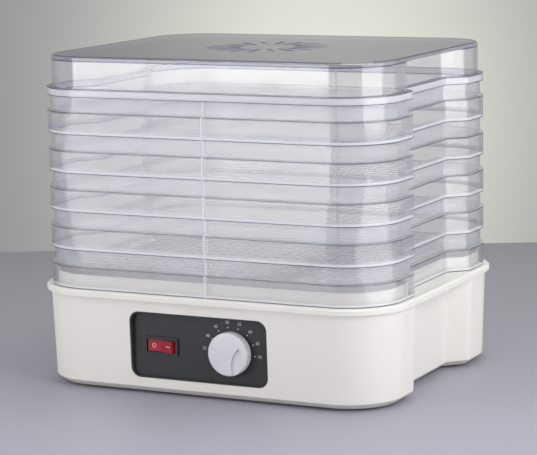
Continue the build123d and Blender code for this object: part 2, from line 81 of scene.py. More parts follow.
# Clear plastic: flow waves and scuffs, colour of its haze, and shine seen straight on
WAVE_MM = 25.0
WAVE_HIGH = 0.5 * MM
SCUFF_MM = 8.0
HAZE = "#f6f7fb"
HAZE_DIFFUSE = 0.85
STRAIGHT_SHINE = 0.06
# Front rib: where it stands across the front, its half width, and its extra white haze, which is a
# painted highlight
FRONT_RIB_X = 5.0 * MM
FRONT_RIB_HALF = 0.9 * MM
FRONT_RIB_HIGHLIGHT_HAZE = 0.6

# Steel: spread of its roughness, and how far its streaks are drawn out along X
STEEL_SPREAD = 0.08
STREAK_STRETCH = (0.05, 1.0, 1.0)

# Dial: marks from the first angle, clockwise over the sweep that the knob turns, in degrees
NUMERALS = (35, 40, 45, 50, 55, 60, 65, 70)
DIAL_FIRST = 176
DIAL_SWEEP = 180
DIAL_DOT_R = 0.55 * MM
NUMERAL_OUT = 4.2 * MM

# Marks on the rocker, as far from its middle as this share of its length
MARK_REACH = 0.27
RING_R = 1.6 * MM
RING_LINE = 0.3 * MM
RING_FLAT = 0.1
BAR_MARK = (4.4 * MM, 0.8 * MM, 2 * INK)
BAR_MARK_EDGE = 0.02 * MM

# Knob, lying face up about the origin: flutes, rounded face, pointer groove and finger scoop
FLUTE_SHRINK = 0.978
KNOB_EDGE = 1.3 * MM
POINTER_TURN = math.radians(162)
POINTER_SIZE = (8.0 * MM, 1.1 * MM, 1.2 * MM)
POINTER_OUT = 10.5 * MM
SCOOP_TIP = Vector((10.5, 5.9)) * MM
SCOOP_END = Vector((4.5, -19.0)) * MM
SCOOP_HALF_WIDE = 5.0 * MM
SCOOP_THICK = 6 * MM
SCOOP_LIFT = 1.5 * MM
SCOOP_SLOPE = math.radians(-10)

# Screws under the floor plate; the drops are from the plate's underside
SCREW_X = 108 * MM
SCREW_Y = 93 * MM
SCREW_R = 3.4 * MM
SCREW_THICK = 1.6 * MM
SCREW_DROP = 0.5 * MM
SCREW_EDGE = 0.6 * MM
RECESS_LONG = 3.6 * MM
RECESS_WIDE = 0.8 * MM
RECESS_DEEP = 1.6 * MM
RECESS_DROP = 1.3 * MM

# Camera of the photo, fitted to the object's edges: focal length and width are in pixels
PHOTO_YAW, PHOTO_PITCH, PHOTO_ROLL = (math.radians(turn) for turn in (26.32, 9.2, -1.04))
PHOTO_EYE = (0.8557, -1.7336, 0.4363)
PHOTO_FOCAL = 2269.0
PHOTO_WIDE = 537.0
SENSOR_WIDE = 36.0

# Stage, in metres from the object's middle as the camera looks
IN_FRONT = -1.0
STAGE_WIDE = 8.0
TABLE_BEHIND = 0.62
TABLE_FRONT = 3.0
# Where the table's painted fall-off of light runs, from near to far
TABLE_PAINTED_FALLOFF = (-0.5, 0.6)
TABLE_PATCH_MM = 500.0
BACKDROP_FAR = TABLE_BEHIND + 0.9
BACKDROP_HIGH = 4.0
BACKDROP_MIDDLE = 1.0
GLOW_SHIFT = 0.1
GLOW_MIDDLE = 0.06
GLOW_SHAPE = (1.0, 1.0, 0.75)
GLOW_REACH = 0.56
CARD_LIFT = 2 * MM
LIGHT_AIM = Vector((0, 0, 0.14))


def linear(hex_colour):
    """An sRGB hex colour as linear red, green and blue."""
    values = [int(hex_colour[i:i + 2], 16) / 255 for i in (1, 3, 5)]
    return tuple(v / 12.92 if v <= 0.04045 else ((v + 0.055) / 1.055) ** 2.4 for v in values)


def rgba(hex_colour):
    """The same colour with full alpha."""
    return (*linear(hex_colour), 1.0)


def add_node(tree, kind, inputs=None, **settings):
    """A shader node; inputs gives each input its value, or the socket that feeds it."""
    made = tree.nodes.new(kind)
    for key, value in settings.items():
        setattr(made, key, value)
    for key, value in (inputs or {}).items():
        if isinstance(value, bpy.types.NodeSocket):
            tree.links.new(value, made.inputs[key])
        else:
            made.inputs[key].default_value = value
    return made


def new_material(name):
    """An empty node material and its tree."""
    material = bpy.data.materials.new(name)
    material.use_nodes = True
    material.node_tree.nodes.clear()
    return material, material.node_tree


def close_material(tree, shader):
    """Wire the finished shader to the material's output."""
    add_node(tree, "ShaderNodeOutputMaterial", {"Surface": shader})


def uneven(tree, place, grain_mm, low, high, detail=2.0):
    """A noise pattern of a given grain, and the same pattern spread between two values."""
    noise = add_node(tree, "ShaderNodeTexNoise", {
        "Vector": place, "Scale": 1 / (grain_mm * MM), "Detail": detail})
    spread = add_node(tree, "ShaderNodeMapRange", {
        "Value": noise.outputs["Fac"], "To Min": low, "To Max": high})
    return noise.outputs["Fac"], spread.outputs["Result"]


def moulded(name, colour, shade, roughness, grain_mm, grain_depth, specular=0.5):
    """Opaque moulded plastic: a fine grain, and a slow drift between two near colours.

    The grain that a mould leaves is too fine to show in the render, so it is drawn coarser.
    """
    material, tree = new_material(name)
    place = add_node(tree, "ShaderNodeTexCoord").outputs["Object"]
    patches = add_node(tree, "ShaderNodeTexNoise", {
        "Vector": place, "Scale": 1 / (PATCH_MM * MM), "Detail": 3.0})
    tint = add_node(tree, "ShaderNodeMix", {
        "Factor": patches.outputs["Fac"], "A": rgba(colour), "B": rgba(shade)}, data_type="RGBA")
    grain, gloss = uneven(
        tree, place, grain_mm, roughness - PLASTIC_SPREAD, roughness + PLASTIC_SPREAD)
    bump = add_node(tree, "ShaderNodeBump", {
        "Height": grain, "Strength": grain_depth, "Distance": GRAIN_HIGH})
    skin = add_node(tree, "ShaderNodeBsdfPrincipled", {
        "Base Color": tint.outputs["Result"],
        "Roughness": gloss,
        "Normal": bump.outputs["Normal"],
        "IOR": PLASTIC_IOR,
        "Specular IOR Level": specular,
    })
    close_material(tree, skin.outputs["BSDF"])
    return material


def height_bands(tree, height, bands, low, pitch):
    """A ramp over the height: a band's tint as colour and its haze as alpha, at every pitch."""
    within = add_node(
        tree, "ShaderNodeMath", {0: height, 1: low + pitch, 2: low}, operation="WRAP")
    level = add_node(tree, "ShaderNodeMapRange", {
        "Value": within.outputs["Value"], "From Min": low, "From Max": low + pitch})
    ramp = add_node(tree, "ShaderNodeValToRGB", {"Fac": level.outputs["Result"]})
    ramp.color_ramp.interpolation = "CONSTANT"
    stops = ramp.color_ramp.elements
    stops.remove(stops[1])
    for index, (start, tint, haze) in enumerate(bands):
        stop = stops[0] if index == 0 else stops.new(start / pitch)
        stop.position = start / pitch
        stop.color = (*linear(tint), haze)
    return ramp


def haze_share(tree, banded, across, top_highlight_haze, rib_x):
    """White haze of a wall: its band's, or more on faces that look up or on the rib, as painted
    highlight.
    """
    # Which way a face looks is counted from the outside of the moulding
    face = add_node(tree, "ShaderNodeNewGeometry")
    split = add_node(tree, "ShaderNodeSeparateXYZ", {"Vector": face.outputs["Normal"]})
    side = add_node(tree, "ShaderNodeMapRange", {
        "Value": face.outputs["Backfacing"], "To Min": 1.0, "To Max": -1.0})
    rise = add_node(tree, "ShaderNodeMath", {
        0: split.outputs["Z"], 1: side.outputs["Result"]}, operation="MULTIPLY")
    # Painted highlight: faces that look up get more white haze, so they show as bright lines
    top = add_node(tree, "ShaderNodeMapRange", {
        "Value": rise.outputs["Value"], "From Min": 0.9, "From Max": 0.97, "To Max": top_highlight_haze})
    haze = add_node(tree, "ShaderNodeMath", {
        0: banded, 1: top.outputs["Result"]}, operation="MAXIMUM")
    # Painted highlight: the front rib gets more white haze, so it shows as a bright line
    if rib_x is not None:
        near = add_node(
            tree, "ShaderNodeMath", {0: across, 1: rib_x, 2: FRONT_RIB_HALF}, operation="COMPARE")
        rib = add_node(tree, "ShaderNodeMapRange", {
            "Value": near.outputs["Value"], "To Max": FRONT_RIB_HIGHLIGHT_HAZE})
        haze = add_node(tree, "ShaderNodeMath", {
            0: haze.outputs["Value"], 1: rib.outputs["Result"]}, operation="MAXIMUM")
    return haze.outputs["Value"]


def clear_plastic(name, edge_tint, bands, low, pitch, top_highlight_haze, rib_x=None):
    """Clear moulded SAN in thin walls: see-through and polished, with slow flow waves.

    Each band starts at a height above low, with the tint of what is seen through it and its
    share of white haze. Rounded rims and steps gather light and show as thin dark or white
    lines; these lines are painted shade and painted highlights in the bands, drawn about a
    millimetre wide so that they show in the render.
    """
    material, tree = new_material(name)
    place = add_node(tree, "ShaderNodeTexCoord").outputs["Object"]
    waves = add_node(tree, "ShaderNodeTexNoise", {
        "Vector": place, "Scale": 1 / (WAVE_MM * MM), "Detail": 1.0})
    bump = add_node(tree, "ShaderNodeBump", {
        "Height": waves.outputs["Fac"], "Strength": 0.1, "Distance": WAVE_HIGH})
    spot = add_node(tree, "ShaderNodeSeparateXYZ", {"Vector": place})
    ramp = height_bands(tree, spot.outputs["Z"], bands, low, pitch)
    # A wall seen along its length is thicker on the way through, so the tint gathers there
    along = add_node(tree, "ShaderNodeLayerWeight", {
        "Normal": bump.outputs["Normal"], "Blend": 0.5})
    slant = add_node(
        tree, "ShaderNodeMath", {0: along.outputs["Facing"], 1: 3.0}, operation="POWER")
    depth = add_node(tree, "ShaderNodeMix", {
        "Factor": slant.outputs["Value"], "A": ramp.outputs["Color"], "B": rgba(edge_tint),
    }, data_type="RGBA", blend_type="MULTIPLY")
    through = add_node(tree, "ShaderNodeBsdfTransparent", {"Color": depth.outputs["Result"]})
    milk = add_node(tree, "ShaderNodeBsdfTranslucent", {"Color": rgba(HAZE)})
    cloud = add_node(tree, "ShaderNodeBsdfDiffuse", {"Color": rgba(HAZE)})
    frost = add_node(tree, "ShaderNodeMixShader", {
        0: HAZE_DIFFUSE, 1: milk.outputs["BSDF"], 2: cloud.outputs["BSDF"]})
    haze = haze_share(tree, ramp.outputs["Alpha"], spot.outputs["X"], top_highlight_haze, rib_x)
    inside = add_node(tree, "ShaderNodeMixShader", {
        0: haze, 1: through.outputs["BSDF"], 2: frost.outputs["Shader"]})
    _, gloss = uneven(tree, place, SCUFF_MM, 0.05, 0.11, detail=4.0)
    shine = add_node(tree, "ShaderNodeBsdfAnisotropic", {
        "Roughness": gloss, "Normal": bump.outputs["Normal"]})
    # Both faces of a thin wall shine alike, a little straight on and wholly along the wall
    grazing = add_node(
        tree, "ShaderNodeMath", {0: along.outputs["Facing"], 1: 5.0}, operation="POWER")
    share = add_node(tree, "ShaderNodeMapRange", {
        "Value": grazing.outputs["Value"], "To Min": STRAIGHT_SHINE, "To Max": 1.0})
    skin = add_node(tree, "ShaderNodeMixShader", {
        0: share.outputs["Result"], 1: inside.outputs["Shader"], 2: shine.outputs["BSDF"]})
    close_material(tree, skin.outputs["Shader"])
    return material


def one_sided(tree, shader):
    """Close a stage material seen only from its front, so that it never hides the object."""
    back = add_node(tree, "ShaderNodeNewGeometry").outputs["Backfacing"]
    gone = add_node(tree, "ShaderNodeBsdfTransparent")
    both = add_node(tree, "ShaderNodeMixShader", {0: back, 1: shader, 2: gone.outputs["BSDF"]})
    close_material(tree, both.outputs["Shader"])


def metal(name, colour, roughness, grain_mm):
    """Steel with streaks from rolling or plating, drawn coarser than they are so that they show."""
    material, tree = new_material(name)
    place = add_node(tree, "ShaderNodeTexCoord").outputs["Object"]
    along = add_node(tree, "ShaderNodeMapping", {"Vector": place, "Scale": STREAK_STRETCH})
    _, gloss = uneven(
        tree, along.outputs["Vector"], grain_mm, roughness - STEEL_SPREAD, roughness + STEEL_SPREAD)
    skin = add_node(tree, "ShaderNodeBsdfPrincipled", {
        "Base Color": rgba(colour), "Roughness": gloss, "Metallic": 1.0})
    close_material(tree, skin.outputs["BSDF"])
    return material


def ink(name, colour):
    """Screen-printed ink: flat and slightly chalky, with specks drawn coarse enough to show."""
    material, tree = new_material(name)
    place = add_node(tree, "ShaderNodeTexCoord").outputs["Object"]
    _, gloss = uneven(tree, place, 0.4, 0.5, 0.7)
    skin = add_node(tree, "ShaderNodeBsdfPrincipled", {
        "Base Color": rgba(colour), "Roughness": gloss})
    close_material(tree, skin.outputs["BSDF"])
    return material


def paint(thing, material):
    """Give an object one material."""
    thing.data.materials.clear()
    thing.data.materials.append(material)


def deselect():
    """Leave object mode with nothing selected."""
    if bpy.context.object and bpy.context.object.mode != "OBJECT":
        bpy.ops.object.mode_set(mode="OBJECT")
    bpy.ops.object.select_all(action="DESELECT")


def only(thing):
    """Leave object mode with one object selected and active."""
    deselect()
    thing.select_set(True)
    bpy.context.view_layer.objects.active = thing


def fix_place(thing):
    """Put an object's place, turn and size into its mesh."""
    only(thing)
    bpy.ops.object.transform_apply(location=True, rotation=True, scale=True)
    return thing


def settle(thing, name, body, material):
    """Name a finished piece, paint it, and let it ride on its body."""
    fix_place(thing)
    thing.name = name
    thing.data.name = name
    paint(thing, material)
    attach(thing, body)


def join(things):
    """Join several objects into the first."""
    only(things[0])
    for thing in things:
        thing.select_set(True)
    bpy.ops.object.join()
    return things[0]


def front_of(node, x, z):
    """Where a line from the front first meets a node, and which way that face looks."""
    met, place, normal, _ = NODES[node].ray_cast((x, IN_FRONT, z), (0, 1, 0))
    if not met:
        raise RuntimeError(f"a line from the front at x {x:.4f}, z {z:.4f} misses {node}")
    return place, normal


def stand_on(thing, place, normal):
    """Lay an object that was made flat on the ground plane onto a face, top edge up."""
    side = Vector((0, 0, 1)).cross(normal).normalized()
    turn = Matrix((side, normal.cross(side), normal)).transposed().to_4x4()
    thing.matrix_world = Matrix.Translation(place) @ turn
    return thing


def printed(text, size, place, normal):
    """Flat lettering on a face."""
    deselect()
    bpy.ops.object.text_add()
    thing = bpy.context.object
    thing.data.body = text
    thing.data.size = size
    thing.data.align_x = "CENTER"
    thing.data.align_y = "CENTER"
    thing.data.extrude = INK
    thing.data.resolution_u = 3
    bpy.ops.object.convert(target="MESH")
    return stand_on(bpy.context.object, place, normal)


def apply_modifier(thing, kind, **settings):
    """Add a modifier, set it up and apply it."""
    only(thing)
    made = thing.modifiers.new(kind.lower(), kind)
    for key, value in settings.items():
        setattr(made, key, value)
    bpy.ops.object.modifier_apply(modifier=made.name)


def pick(thing, test):
    """Go into edit mode with only the vertices that pass a test selected."""
    only(thing)
    mesh = thing.data
    for group in (mesh.polygons, mesh.edges):
        group.foreach_set("select", [False] * len(group))
    mesh.vertices.foreach_set("select", [bool(test(vertex.co)) for vertex in mesh.vertices])
    bpy.ops.object.mode_set(mode="EDIT")
    bpy.ops.mesh.select_mode(type="VERT")


def combine(thing, cutter, operation):
    """Cut one object with another and drop the cutter."""
    apply_modifier(thing, "BOOLEAN", object=cutter, operation=operation, solver="EXACT")
    bpy.data.objects.remove(cutter)


def block(size, place):
    """A box with its place and size in the mesh, ready for modifiers."""
    deselect()
    bpy.ops.mesh.primitive_cube_add(size=1.0, location=place)
    thing = bpy.context.object
    thing.scale = size
    return fix_place(thing)


def disc(vertices, radius, depth, place):
    """A round disc along Z with its place in the mesh, ready for edits."""
    deselect()
    bpy.ops.mesh.primitive_cylinder_add(
        vertices=vertices, radius=radius, depth=depth, location=place)
    return fix_place(bpy.context.object)


def stage_sheet(name, size, place, turn, material):
    """A flat sheet of the stage, with its place in the mesh."""
    deselect()
    bpy.ops.mesh.primitive_plane_add(size=1.0, location=place, rotation=turn)
    thing = bpy.context.object
    thing.scale = (*size, 1)
    fix_place(thing)
    thing.name = name
    paint(thing, material)


def straight_behind(distance):
    """The x and y of a point this far behind the object's middle, as the camera looks."""
    return -math.sin(PHOTO_YAW) * distance, math.cos(PHOTO_YAW) * distance


class DehydratorLooks(bpy.types.PropertyGroup):
    """Colours and sizes that a user would change."""

    shell_colour: bpy.props.StringProperty(
        name="Shell", description="Warm white of the base, sRGB hex", default="#eceae3")
    clear_tint: bpy.props.StringProperty(
        name="Clear tint", description="Tint of the clear trays and lid, sRGB hex",
        default="#ffffff")
    edge_tint: bpy.props.StringProperty(
        name="Edge tint", description="Tint of a clear wall seen along its length, sRGB hex",
        default="#eeeef2")
    panel_colour: bpy.props.StringProperty(
        name="Panel", description="Charcoal of the control panel, sRGB hex", default="#343637")
    rocker_colour: bpy.props.StringProperty(
        name="Rocker", description="Red of the switch rocker, sRGB hex", default="#a3142a")
    knob_colour: bpy.props.StringProperty(
        name="Knob", description="Pale grey of the knob, sRGB hex", default="#dcdee1")
    lattice_bars: bpy.props.IntProperty(
        name="Lattice bars", description="Fine bars across each slot of a tray's floor",
        default=13, min=2)
    lattice_bar: bpy.props.FloatProperty(
        name="Bar", description="Width of the fine bars", default=1.6 * MM, unit="LENGTH")
    dial_radius: bpy.props.FloatProperty(
        name="Dial radius", description="Radius of the dial's dots", default=21.0 * MM,
        unit="LENGTH")
    numeral_size: bpy.props.FloatProperty(
        name="Numerals", description="Height of the dial's numerals", default=3.6 * MM,
        unit="LENGTH")
    knob_flutes: bpy.props.IntProperty(
        name="Flutes", description="Flutes round the knob", default=56, min=12)


class DEHYDRATOR_OT_shell(bpy.types.Operator):
    """Finish the white base shell, its dark outlet grille and the fan below it."""

    bl_idname = "dehydrator.shell"
    bl_label = "Base shell"

    def execute(self, context):
        looks = context.scene.dehydrator
        # Satin ABS: an even warm white with soft, broad highlights
        white = moulded(
            "ABS, moulded satin, warm white", looks.shell_colour, "#e6e4dc", 0.36, 0.9, 0.12)
        for name in ("base_housing", "base_deck", "bottom_cover"):
            paint(NODES[name], white)
        # Polypropylene: a duller skin with a weak, wide shine
        dark = moulded("PP, moulded, dark grey", "#45464a", "#3b3c40", 0.5, 0.8, 0.2)
        for name in ("outlet_grille", "fan_impeller"):
            paint(NODES[name], dark)
        return {"FINISHED"}


class DEHYDRATOR_OT_stack(bpy.types.Operator):
    """Finish the clear trays and the clear lid, and model the fine bars of the trays' floors."""

    bl_idname = "dehydrator.stack"
    bl_label = "Trays and lid"

    def execute(self, context):
        looks = context.scene.dehydrator
        clear = looks.clear_tint
        # Polished SAN: nearly colourless. The grey-violet bands at its rims and edges are painted
        # shade that draws thin dark lines; the hazy band at the trays' rounded edge is a painted
        # highlight
        lid_low, lid_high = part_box("lid")
        # Lid: the grey-violet bands at the rim, the step, the corner and the upper edge are painted
        # shade
        lid_bands = (
            (0.0, "#b4b5c0", 0.1),  # lower rim
            (0.6 * MM, clear, 0.5),  # lip
            (5.8 * MM, "#a0a1ad", 0.05),  # step above the lip
            (6.7 * MM, clear, 0.1),  # wall
            (28.9 * MM, "#a3a1bd", 0.05),  # corner under the plate
            (29.9 * MM, clear, 0.1),  # plate
            (32.5 * MM, "#a3a1bd", 0.05),  # upper edge
            (33.45 * MM, clear, 0.05),  # top face
        )
        # The pitch is more than the lid's height, so its bands come once
        lid = clear_plastic(
            "SAN, clear moulded, lid", looks.edge_tint, lid_bands, lid_low[2],
            lid_high[2] - lid_low[2] + MM, 0.12)
        paint(NODES["lid"], lid)
        first, second = (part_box(name)[0][2] for name in TRAYS[:2])
        pitch = second - first
        # Trays: the grey-violet bands at the rim and the floor step are painted shade, and the hazy
        # rounded edge above the rim is a painted highlight
        side_bands = (
            (0.0, "#b4b5c0", 0.1),  # lower rim
            (0.7 * MM, clear, 0.65),  # rounded edge above the rim
            (2.4 * MM, clear, 0.1),  # skirt
            (17.8 * MM, "#bcbdc8", 0.05),  # step at the floor
            (19.0 * MM, clear, 0.2),  # wall above the floor
        )
        side = clear_plastic(
            "SAN, clear moulded, tray side", looks.edge_tint, side_bands, first, pitch, 0.7,
            FRONT_RIB_X)
        floor = clear_plastic(
            "SAN, clear moulded, tray floor", looks.edge_tint, ((0.0, clear, 0.06),), first,
            pitch, 0.18)
        for name in TRAYS:
            paint(NODES[name], side)
            paint(NODES[f"{name}_floor"], floor)
            settle(self.lattice(looks, name), f"{name}_lattice", f"{name}_body",
                   floor)
        return {"FINISHED"}

    def lattice(self, looks, tray):
        """Fine bars across the slots of a tray's floor, between the slats."""
        low, high = (Vector(corner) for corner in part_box(tray))
        pitch_x = (high.x - low.x - 2 * FLOOR_MARGIN_X) / FLOOR_COLUMNS
        pitch_y = (high.y - low.y - 2 * FLOOR_MARGIN_Y) / FLOOR_ROWS
        step = (pitch_x - FLOOR_RIB) / (looks.lattice_bars + 1)
        first = Vector((
            low.x + FLOOR_MARGIN_X + FLOOR_RIB / 2 + step,
            low.y + FLOOR_MARGIN_Y + pitch_y / 2,
            low.z + SKIRT_DROP - FLOOR_THICK / 2,
        ))
        bar = block((looks.lattice_bar, pitch_y - FLOOR_RIB - 2 * INK, BAR_THICK), first)
        apply_modifier(bar, "BEVEL", width=BAR_EDGE, segments=1)
        for count, offset in (
            (looks.lattice_bars, (step, 0, 0)),
            (FLOOR_COLUMNS, (pitch_x, 0, 0)),
            (FLOOR_ROWS, (0, pitch_y, 0)),
        ):
            apply_modifier(bar, "ARRAY", count=count, use_relative_offset=False,
                           use_constant_offset=True, constant_offset_displace=offset)
        return bar


class DEHYDRATOR_OT_panel(bpy.types.Operator):
    """Finish the control panel and print its dial."""

    bl_idname = "dehydrator.panel"
    bl_label = "Control panel"

    def execute(self, context):
        looks = context.scene.dehydrator
        # Charcoal ABS with a closer grain: dark, with a low, even sheen
        charcoal = moulded("ABS, moulded satin, charcoal", looks.panel_colour, "#303233", 0.42,
                           0.7, 0.2, specular=0.3)
        paint(NODES["control_panel"], charcoal)
        centre = (KNOB_LOW + KNOB_HIGH) / 2
        marks = []
        for index, value in enumerate(NUMERALS):
            angle = math.radians(DIAL_FIRST - DIAL_SWEEP * index / (len(NUMERALS) - 1))
            dot_place, numeral_place = (
                front_of("control_panel", centre.x + math.cos(angle) * reach,
                         centre.z + math.sin(angle) * reach)
                for reach in (looks.dial_radius, looks.dial_radius + NUMERAL_OUT))
            marks.append(stand_on(disc(16, DIAL_DOT_R, 2 * INK, (0, 0, 0)), *dot_place))
            marks.append(printed(str(value), looks.numeral_size, *numeral_place))
        # Screen ink: dull pale strokes with no shine of their own
        settle(join(marks), "dial_print", "base",
               ink("Screen ink, pale grey", "#c9cacb"))
        return {"FINISHED"}


class DEHYDRATOR_OT_switch(bpy.types.Operator):
    """Finish the power switch and mark its rocker."""

    bl_idname = "dehydrator.switch"
    bl_label = "Power switch"

    def execute(self, context):
        looks = context.scene.dehydrator
        # Black polyamide: nearly black, slightly dull
        paint(NODES["switch_body"],
              moulded("PA, moulded, black", "#1b1b1c", "#161617", 0.45, 0.6, 0.2))
        # Glossy polycarbonate: deep red with a small, sharp highlight
        paint(NODES["switch_rocker"],
              moulded("PC, moulded gloss, red", looks.rocker_colour, "#8c1024", 0.18, 0.6, 0.05))
        centre = (ROCKER_LOW + ROCKER_HIGH) / 2
        reach = (ROCKER_HIGH.x - ROCKER_LOW.x) * MARK_REACH
        deselect()
        bpy.ops.mesh.primitive_torus_add(
            major_radius=RING_R, minor_radius=RING_LINE, major_segments=28, minor_segments=6)
        off = bpy.context.object
        off.scale.z = RING_FLAT
        fix_place(off)
        stand_on(off, *front_of("switch_rocker", centre.x - reach, centre.z))
        on = block(BAR_MARK, (0, 0, 0))
        apply_modifier(on, "BEVEL", width=BAR_MARK_EDGE, segments=1)
        stand_on(on, *front_of("switch_rocker", centre.x + reach, centre.z))
        # Thin print on red: the red shows through and makes it pink
        settle(join([off, on]), "rocker_marks", "rocker",
               ink("Printed mark, pink", "#e7a9ad"))
        return {"FINISHED"}


class DEHYDRATOR_OT_knob(bpy.types.Operator):
    """Model the temperature knob: flutes, a rounded face, a leaf-shaped scoop and a pointer."""

    bl_idname = "dehydrator.knob"
    bl_label = "Temperature knob"

    def execute(self, context):
        looks = context.scene.dehydrator
        knob = self.fluted(looks)
        combine(knob, self.scoop(), "DIFFERENCE")
        pointer = block(POINTER_SIZE, (POINTER_OUT, 0, self.high()))
        pointer.rotation_euler = (0, 0, POINTER_TURN)
        combine(knob, pointer, "DIFFERENCE")
        centre = (KNOB_LOW + KNOB_HIGH) / 2
        stand_on(knob, Vector((centre.x, KNOB_HIGH.y, centre.z)), Vector((0, -1, 0)))
        # Satin ABS, cooler than the shell: pale grey, soft highlights along the flutes
        settle(knob, "knob_cap", "knob",
               moulded("ABS, moulded satin, pale grey", looks.knob_colour, "#d5d7da", 0.34, 0.8,
                       0.1))
        bpy.ops.object.shade_smooth_by_angle(angle=math.radians(25))
        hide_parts("temperature_knob")
        return {"FINISHED"}

    def high(self):
        """How far the knob's face stands in front of its back."""
        return KNOB_HIGH.y - KNOB_LOW.y

    def fluted(self, looks):
        """The fluted body, lying face up about the origin."""
        thing = disc(2 * looks.knob_flutes, (KNOB_HIGH.x - KNOB_LOW.x) / 2, self.high(),
                     (0, 0, self.high() / 2))
        pitch = math.pi / looks.knob_flutes
        pick(thing, lambda co: round(math.atan2(co.y, co.x) / pitch) % 2 == 1)
        bpy.ops.transform.resize(
            value=(FLUTE_SHRINK, FLUTE_SHRINK, 1), center_override=(0, 0, 0))
        bpy.ops.object.mode_set(mode="OBJECT")
        pick(thing, lambda co: co.z > self.high() / 2)
        bpy.ops.mesh.bevel(offset=KNOB_EDGE, segments=4, affect="EDGES")
        bpy.ops.object.mode_set(mode="OBJECT")
        return thing

    def scoop(self):
        """A leaf-shaped cutter, deepest along its inner edge: where two round bars cross."""
        along = SCOOP_TIP - SCOOP_END
        half_long = along.length / 2
        radius = (half_long**2 + SCOOP_HALF_WIDE**2) / (2 * SCOOP_HALF_WIDE)
        leaf, other = (
            disc(160, radius, SCOOP_THICK, (side * (radius - SCOOP_HALF_WIDE), 0, 0))
            for side in (-1, 1))
        combine(leaf, other, "INTERSECT")
        middle = (SCOOP_TIP + SCOOP_END) / 2
        lean = math.atan2(along.y, along.x) - math.pi / 2
        leaf.matrix_world = (
            Matrix.Translation((middle.x, middle.y, self.high() + SCOOP_LIFT))
            @ Matrix.Rotation(lean, 4, "Z") @ Matrix.Rotation(SCOOP_SLOPE, 4, "Y"))
        return leaf


class DEHYDRATOR_OT_works(bpy.types.Operator):
    """Finish the motor, heater and wiring inside the base, its feet and its screws."""

    bl_idname = "dehydrator.works"
    bl_label = "Works and feet"

    def execute(self, context):
        # Bare rolled steel: mid grey, half dull, streaked along the sheet
        steel = metal("Rolled steel, plain", "#b9babb", 0.35, 1.5)
        for name in ("motor_bracket", "motor_shaft", "heater_frame", "thermostat_body",
                     "thermostat_shaft", "thermal_cutout"):
            paint(NODES[name], steel)
        # Heated ribbon: its oxide is brown-grey and dull
        paint(NODES["heater_element"], metal("Heater ribbon, oxidised", "#6d6560", 0.5, 1.0))
        # Stoved enamel: black with a smooth, soft gloss
        paint(NODES["fan_motor"],
              moulded("Enamel on steel, black", "#222224", "#1c1c1e", 0.4, 1.2, 0.1))
        # Undyed polyamide: cream, waxy and dull
        paint(NODES["terminal_block"],
              moulded("PA, moulded, cream", "#d9d0b4", "#cfc6aa", 0.5, 0.9, 0.15))
        # Moulded rubber: matt black, hardly a highlight
        rubber = moulded("Rubber, moulded, black", "#202122", "#1a1b1c", 0.75, 0.5, 0.4)
        for name in ("rubber_feet", "cord_inlet"):
            paint(NODES[name], rubber)
        screws = [self.screw(sx * SCREW_X, sy * SCREW_Y) for sx in (-1, 1) for sy in (-1, 1)]
        # Zinc plate: bright pale grey
        settle(join(screws), "cover_screws", "base",
               metal("Screw, zinc plated", "#c3c4c2", 0.3, 0.6))
        bpy.ops.object.shade_smooth_by_angle(angle=math.radians(35))
        return {"FINISHED"}

    def screw(self, x, y):
        """A pan head with a cross recess, under the floor plate."""
        head = disc(32, SCREW_R, SCREW_THICK, (x, y, COVER_LOW.z - SCREW_DROP))
        pick(head, lambda co: co.z < COVER_LOW.z)
        bpy.ops.mesh.bevel(offset=SCREW_EDGE, segments=3, affect="EDGES")
        bpy.ops.object.mode_set(mode="OBJECT")
        for wide, deep in ((RECESS_LONG, RECESS_WIDE), (RECESS_WIDE, RECESS_LONG)):
            slot = block((wide, deep, RECESS_DEEP), (x, y, COVER_LOW.z - RECESS_DROP))
            combine(head, slot, "DIFFERENCE")
        return head


